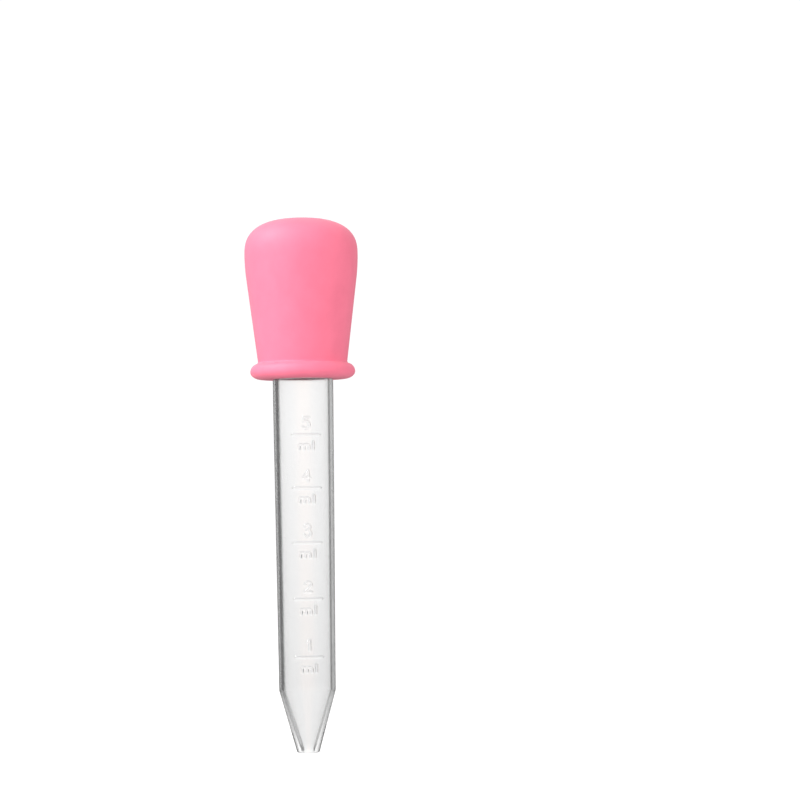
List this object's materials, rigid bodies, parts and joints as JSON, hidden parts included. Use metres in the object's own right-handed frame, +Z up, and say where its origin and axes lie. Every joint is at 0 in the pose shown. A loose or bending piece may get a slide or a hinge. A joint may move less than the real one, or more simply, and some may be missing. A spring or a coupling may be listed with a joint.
{
  "type": "medicine dropper",
  "caption": "Graduated clear medicine dropper with a tapered tip and a soft pull-off squeeze bulb.",
  "frame": {"origin": "middle of the outlet in the tip, in the plane of the tip's end", "axes": "+Z up the axis of the tube towards the bulb; the raised scale faces -Y; fingers pinch the bulb along X"},
  "size_m": [0.0244, 0.0244, 0.115],
  "materials": {
    "clear_plastic": "clear moulded plastic, glossy",
    "scale_plastic": "clear moulded plastic, glossy, standing proud of the tube",
    "silicone": "matte pink silicone"
  },
  "bodies": {
    "tube": {"clear_tube": "clear_plastic", "raised_scale": "scale_plastic"},
    "bulb": {"silicone_bulb": "silicone"},
    "pinch_left": {"pinch_wall_left": "silicone"},
    "pinch_right": {"pinch_wall_right": "silicone"}
  },
  "joints": [
    {"name": "bulb_pull_off", "type": "slide", "parent": "tube", "child": "bulb", "axis": [0, 0, 1], "range_m": [0, 0.018]},
    {"name": "bulb_pinch", "type": "slide", "parent": "bulb", "child": "pinch_left", "axis": [1, 0, 0], "range_m": [0, 0.0045], "stiffness_N_per_m": 600},
    {"name": "bulb_pinch_right", "type": "slide", "parent": "bulb", "child": "pinch_right", "axis": [-1, 0, 0], "range_m": [0, 0.0045], "stiffness_N_per_m": 600}
  ],
  "couplings": [
    {"joint": "bulb_pinch_right", "follows": "bulb_pinch", "ratio": 1}
  ]
}
